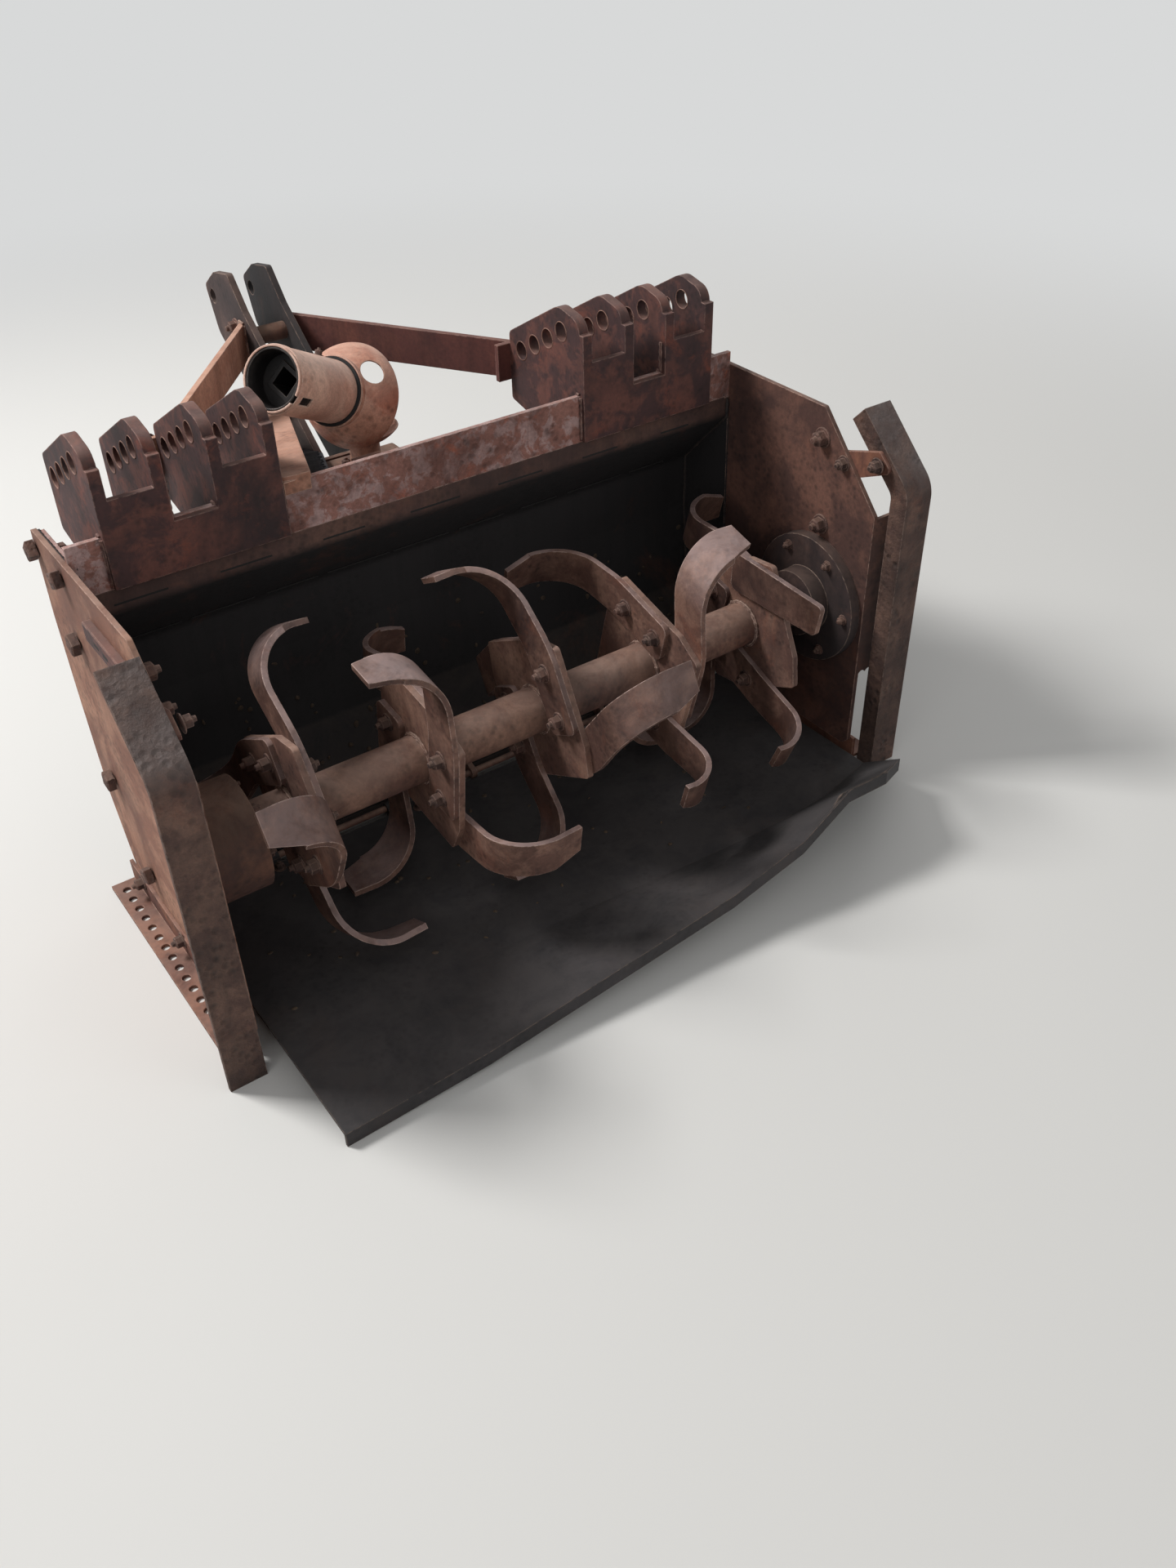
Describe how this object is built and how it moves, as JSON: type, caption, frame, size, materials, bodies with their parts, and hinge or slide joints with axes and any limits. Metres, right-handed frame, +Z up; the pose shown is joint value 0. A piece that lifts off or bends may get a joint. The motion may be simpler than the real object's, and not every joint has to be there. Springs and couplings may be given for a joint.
{
  "type": "rotary tiller",
  "caption": "Tractor-mounted rotary tiller parked on its rear: bladed rotor under a folded hood, end plates with skids, hitch brackets, mast, guarded drive shaft and hinged trailing flap.",
  "frame": {"origin": "bottom centre of the bounding box, on the ground the machine is parked on", "axes": "+X towards the machine's own left, +Y towards the machine's own top, +Z up as parked, which is the machine's own front"},
  "size_m": [1.328, 1.3394, 0.815],
  "materials": {
    "rusted_plate": "matte, faded red-brown paint gone to rust",
    "dusty_plate": "matte, dusty faded paint",
    "hood_sheet": "matte, dark rust with old soil",
    "worn_blade": "matte rust with worn edges",
    "rotor_steel": "matte brown rust",
    "skid_steel": "pitted grey-brown",
    "gear_iron": "rough casting, rusted",
    "guard_paint": "chalky pinkish tan paint",
    "drive_steel": "dark oily steel"
  },
  "bodies": {
    "frame": {"end_plate_left": "rusted_plate", "end_plate_right": "dusty_plate", "front_beam": "rusted_plate", "hitch_bracket_left": "rusted_plate", "hitch_bracket_right": "rusted_plate", "gearbox": "gear_iron", "gearbox_saddle": "rusted_plate", "gearbox_rails": "rusted_plate", "mast_plate_left": "rusted_plate", "mast_plate_right": "rusted_plate", "mast_foot": "rusted_plate", "mast_brace_left": "rusted_plate", "mast_brace_right": "dusty_plate", "mast_strut": "dusty_plate", "mast_stay": "gear_iron", "cross_shaft_tube": "rusted_plate", "side_drive_case": "gear_iron", "bearing_drum_right": "skid_steel", "bearing_hub_left": "gear_iron", "skid_left": "skid_steel", "skid_right": "skid_steel", "skid_strap_left": "rusted_plate", "skid_strap_right": "rusted_plate", "depth_bar_left": "rusted_plate", "depth_bar_right": "rusted_plate", "hood_shell": "hood_sheet", "flap_hinge_rod": "rotor_steel", "guard_cup": "guard_paint"},
    "rotor": {"rotor_tube": "rotor_steel", "rotor_flanges": "rotor_steel", "rotor_blades_a": "worn_blade", "rotor_blades_b": "worn_blade", "rotor_blades_c": "worn_blade", "rotor_blades_d": "worn_blade", "rotor_blades_e": "worn_blade"},
    "flap": {"trailing_flap": "hood_sheet"},
    "driveline": {"guard_bell": "guard_paint", "guard_tube": "guard_paint", "drive_shaft": "drive_steel"}
  },
  "joints": [
    {"name": "rotor_spin", "type": "hinge", "parent": "frame", "child": "rotor", "pos_m": [0, -0.3107, 0.293], "axis": [1, 0, 0], "continuous": true},
    {"name": "flap_swing", "type": "hinge", "parent": "frame", "child": "flap", "pos_m": [0, -0.0697, 0.016], "axis": [1, 0, 0], "range_deg": [0, 60]},
    {"name": "driveline_swing", "type": "hinge", "parent": "frame", "child": "driveline", "pos_m": [-0.016, 0.1763, 0.656], "axis": [-0.5135, 0.8581, 0], "range_deg": [0, 63]}
  ]
}
